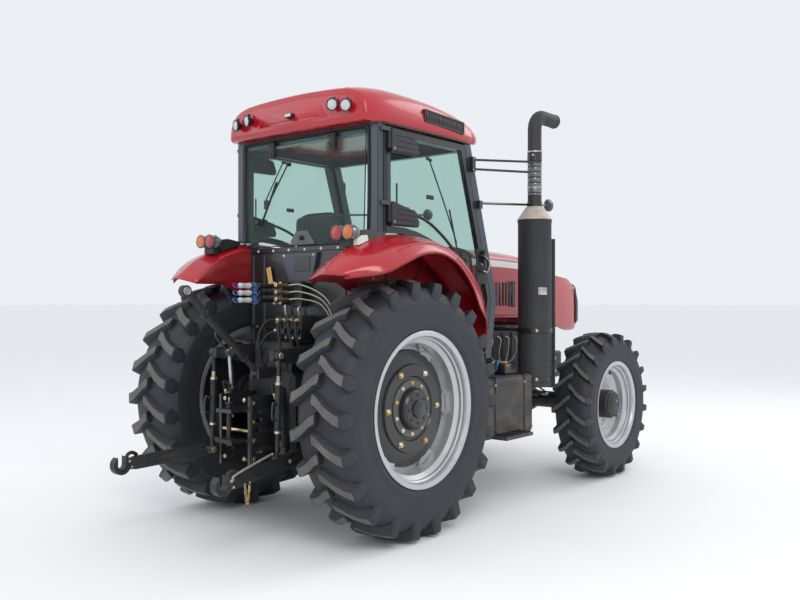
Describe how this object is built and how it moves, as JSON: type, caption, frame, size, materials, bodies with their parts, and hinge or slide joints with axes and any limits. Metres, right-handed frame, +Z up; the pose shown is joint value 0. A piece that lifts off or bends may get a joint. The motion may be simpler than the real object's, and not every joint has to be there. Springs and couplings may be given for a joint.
{
  "type": "farm tractor",
  "caption": "Four-wheel-drive farm tractor with closed cab, tilting bonnet, steered front wheels and rear three-point linkage.",
  "frame": {"origin": "on the ground, under the middle of the overall box", "axes": "+X towards the nose, +Y towards the left side, +Z up; the wheels turn about Y"},
  "size_m": [4.9, 2.16, 3.1276],
  "materials": {
    "red_paint": "gloss paint",
    "cab_dark": "satin paint",
    "black_paint": "satin paint",
    "cast_iron": "painted casting",
    "tyre": "matt",
    "silver": "silver paint",
    "glass": "tinted",
    "muffler_grey": "matt heat-proof paint",
    "plastic": "moulded",
    "seat_fabric": "woven",
    "steel": "plated"
  },
  "bodies": {
    "chassis": {"rear_axle_housing": "cast_iron", "gearbox": "cast_iron", "engine_block": "cast_iron", "front_frame": "cast_iron", "front_axle_beam": "cast_iron", "firewall": "black_paint", "fuel_tank_left": "black_paint", "fuel_tank_right": "black_paint", "cab_floor": "cab_dark", "cab_frame": "cab_dark", "windscreen": "glass", "roof": "red_paint", "seat": "seat_fabric", "seat_base": "plastic", "dashboard": "plastic", "fender_left": "red_paint", "fender_right": "red_paint", "muffler": "muffler_grey", "exhaust_pipe": "muffler_grey", "mirror_arm_left": "black_paint", "mirror_arm_right": "black_paint", "small_mirror_left": "black_paint", "small_mirror_right": "black_paint", "remote_couplers": "black_paint", "drawbar_bracket": "black_paint"},
    "lift_arms": {"lift_arms": "black_paint"},
    "top_link": {"top_link": "black_paint"},
    "rear_window": {"rear_window": "glass"},
    "bonnet": {"bonnet": "red_paint", "grille": "plastic"},
    "steering_wheel": {"steering_wheel": "plastic"},
    "rear_wheel_left": {"rear_tyre_left": "tyre", "rear_rim_left": "silver"},
    "front_wheel_left": {"front_tyre_left": "tyre", "front_rim_left": "silver"},
    "knuckle_left": {"knuckle_left": "cast_iron"},
    "door_left": {"door_left": "cab_dark", "door_glass_left": "glass"},
    "lower_link_left": {"lower_link_left": "black_paint"},
    "lift_rod_left": {"lift_rod_left": "black_paint"},
    "lift_cylinder_left": {"lift_cylinder_left": "black_paint"},
    "cylinder_rod_left": {"cylinder_rod_left": "steel"},
    "rear_wheel_right": {"rear_tyre_right": "tyre", "rear_rim_right": "silver"},
    "front_wheel_right": {"front_tyre_right": "tyre", "front_rim_right": "silver"},
    "knuckle_right": {"knuckle_right": "cast_iron"},
    "door_right": {"door_right": "cab_dark", "door_glass_right": "glass"},
    "lower_link_right": {"lower_link_right": "black_paint"},
    "lift_rod_right": {"lift_rod_right": "black_paint"},
    "lift_cylinder_right": {"lift_cylinder_right": "black_paint"},
    "cylinder_rod_right": {"cylinder_rod_right": "steel"}
  },
  "joints": [
    {"name": "rear_wheel_spin_left", "type": "hinge", "parent": "chassis", "child": "rear_wheel_left", "pos_m": [-1.15, 0.82, 0.84], "axis": [0, 1, 0], "continuous": true},
    {"name": "steer_left", "type": "hinge", "parent": "chassis", "child": "knuckle_left", "pos_m": [1.57, 0.7, 0.63], "axis": [0, 0, 1], "range_deg": [-42, 42]},
    {"name": "front_wheel_spin_left", "type": "hinge", "parent": "knuckle_left", "child": "front_wheel_left", "pos_m": [1.57, 0.91, 0.63], "axis": [0, 1, 0], "continuous": true},
    {"name": "door_swing_left", "type": "hinge", "parent": "chassis", "child": "door_left", "pos_m": [-1.154, 0.716, 0], "axis": [0, 0, 1], "range_deg": [0, 70]},
    {"name": "rear_wheel_spin_right", "type": "hinge", "parent": "chassis", "child": "rear_wheel_right", "pos_m": [-1.15, -0.82, 0.84], "axis": [0, 1, 0], "continuous": true},
    {"name": "steer_right", "type": "hinge", "parent": "chassis", "child": "knuckle_right", "pos_m": [1.57, -0.7, 0.63], "axis": [0, 0, 1], "range_deg": [-42, 42]},
    {"name": "front_wheel_spin_right", "type": "hinge", "parent": "knuckle_right", "child": "front_wheel_right", "pos_m": [1.57, -0.91, 0.63], "axis": [0, 1, 0], "continuous": true},
    {"name": "door_swing_right", "type": "hinge", "parent": "chassis", "child": "door_right", "pos_m": [-1.154, -0.716, 0], "axis": [0, 0, -1], "range_deg": [0, 70]},
    {"name": "rear_window_lift", "type": "hinge", "parent": "chassis", "child": "rear_window", "pos_m": [-1.258, 0, 2.69], "axis": [0, 1, 0], "range_deg": [0, 45]},
    {"name": "bonnet_tilt", "type": "hinge", "parent": "chassis", "child": "bonnet", "pos_m": [0.32, 0, 1.925], "axis": [0, -1, 0], "range_deg": [0, 50]},
    {"name": "steering_wheel_turn", "type": "hinge", "parent": "chassis", "child": "steering_wheel", "pos_m": [-0.37, 0, 1.92], "axis": [-0.5736, 0, 0.8192], "range_deg": [-714, 714]},
    {"name": "lift_arms_raise", "type": "hinge", "parent": "chassis", "child": "lift_arms", "pos_m": [-1.39, 0, 1.17], "axis": [0, 1, 0], "range_deg": [-18, 30]},
    {"name": "top_link_swing", "type": "hinge", "parent": "chassis", "child": "top_link", "pos_m": [-1.667, 0, 1.057], "axis": [0, 1, 0], "range_deg": [-62, 30]},
    {"name": "lower_link_lift_left", "type": "hinge", "parent": "chassis", "child": "lower_link_left", "pos_m": [-1.27, 0.3, 0.56], "axis": [0, 1, 0], "range_deg": [-14, 23]},
    {"name": "lift_rod_swing_left", "type": "hinge", "parent": "lift_arms", "child": "lift_rod_left", "pos_m": [-1.775, 0.3206, 1.19], "axis": [0, 1, 0], "range_deg": [-28, 17]},
    {"name": "cylinder_swing_left", "type": "hinge", "parent": "chassis", "child": "lift_cylinder_left", "pos_m": [-1.65, 0.2414, 0.5], "axis": [0, 1, 0], "range_deg": [-2, 4]},
    {"name": "cylinder_slide_left", "type": "slide", "parent": "lift_cylinder_left", "child": "cylinder_rod_left", "axis": [-0.087, 0, 0.9962], "range_m": [-0.097, 0.161]},
    {"name": "lower_link_lift_right", "type": "hinge", "parent": "chassis", "child": "lower_link_right", "pos_m": [-1.27, -0.3, 0.56], "axis": [0, 1, 0], "range_deg": [-14, 23]},
    {"name": "lift_rod_swing_right", "type": "hinge", "parent": "lift_arms", "child": "lift_rod_right", "pos_m": [-1.775, -0.3206, 1.19], "axis": [0, 1, 0], "range_deg": [-28, 17]},
    {"name": "cylinder_swing_right", "type": "hinge", "parent": "chassis", "child": "lift_cylinder_right", "pos_m": [-1.65, -0.2414, 0.5], "axis": [0, 1, 0], "range_deg": [-2, 4]},
    {"name": "cylinder_slide_right", "type": "slide", "parent": "lift_cylinder_right", "child": "cylinder_rod_right", "axis": [-0.087, 0, 0.9962], "range_m": [-0.097, 0.161]}
  ],
  "couplings": [
    {"joint": "lower_link_lift_left", "follows": "lift_arms_raise", "ratio": 0.737},
    {"joint": "lift_rod_swing_left", "follows": "lift_arms_raise", "ratio": -0.92},
    {"joint": "cylinder_swing_left", "follows": "lift_arms_raise", "ratio": 0.1},
    {"joint": "cylinder_slide_left", "follows": "lift_arms_raise", "m_per_rad": 0.305},
    {"joint": "lower_link_lift_right", "follows": "lift_arms_raise", "ratio": 0.737},
    {"joint": "lift_rod_swing_right", "follows": "lift_arms_raise", "ratio": -0.92},
    {"joint": "cylinder_swing_right", "follows": "lift_arms_raise", "ratio": 0.1},
    {"joint": "cylinder_slide_right", "follows": "lift_arms_raise", "m_per_rad": 0.305},
    {"joint": "steer_left", "follows": "steer_right", "ratio": 1},
    {"joint": "steering_wheel_turn", "follows": "steer_right", "ratio": 17}
  ]
}
